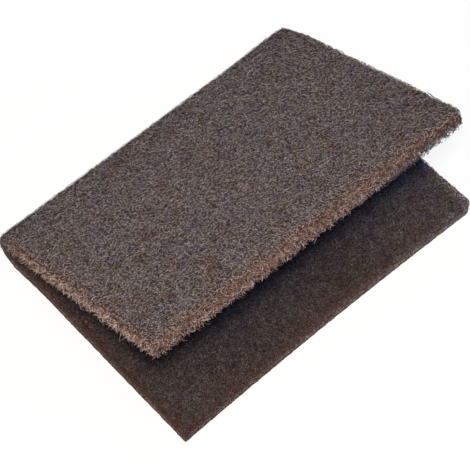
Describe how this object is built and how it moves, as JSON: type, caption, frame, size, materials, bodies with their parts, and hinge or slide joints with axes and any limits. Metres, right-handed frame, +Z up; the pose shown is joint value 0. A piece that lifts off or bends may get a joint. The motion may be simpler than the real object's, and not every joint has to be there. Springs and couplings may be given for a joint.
{
  "type": "non-woven abrasive pad",
  "caption": "Rectangular non-woven abrasive hand pad, folded once across its length into an open V.",
  "frame": {"origin": "middle of the footprint's bounding box, on the surface that the lower flap lies on", "axes": "+X along the fold, +Y towards the fold, +Z up; the flaps open towards -Y"},
  "size_m": [0.1604, 0.1166, 0.0589],
  "materials": {
    "abrasive_web": "matt grey-brown resin-bonded fibre web"
  },
  "bodies": {
    "root": {"abrasive_pad": "abrasive_web"}
  },
  "joints": []
}
